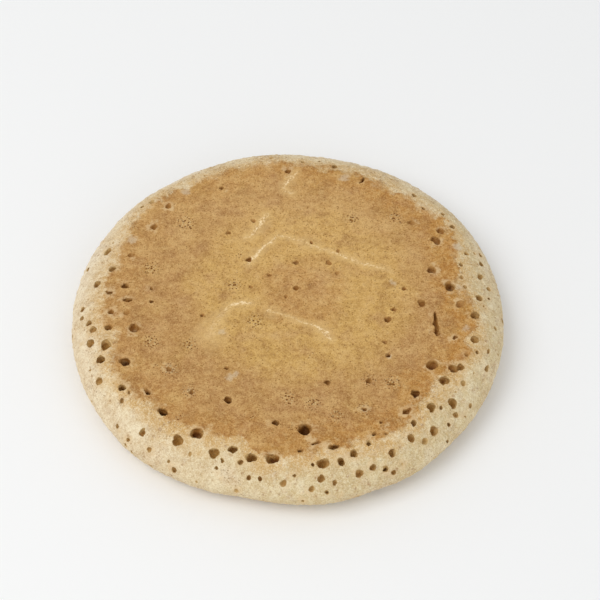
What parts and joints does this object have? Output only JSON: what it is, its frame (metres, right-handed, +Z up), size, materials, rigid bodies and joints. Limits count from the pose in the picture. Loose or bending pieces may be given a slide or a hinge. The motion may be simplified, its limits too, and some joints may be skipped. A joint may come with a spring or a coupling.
{
  "type": "pancake",
  "caption": "Thick round griddle pancake with a flat browned face, a pale rounded edge and burst bubbles.",
  "frame": {"origin": "middle of the outline, on the flat underside that the pancake rests on", "axes": "+Z up through the thickness, towards the browned face; -Y towards the viewer of the picture; +X to the viewer's right"},
  "size_m": [0.096, 0.0962, 0.0123],
  "materials": {
    "crumb": "matte"
  },
  "bodies": {
    "root": {"pancake": "crumb"}
  },
  "joints": []
}
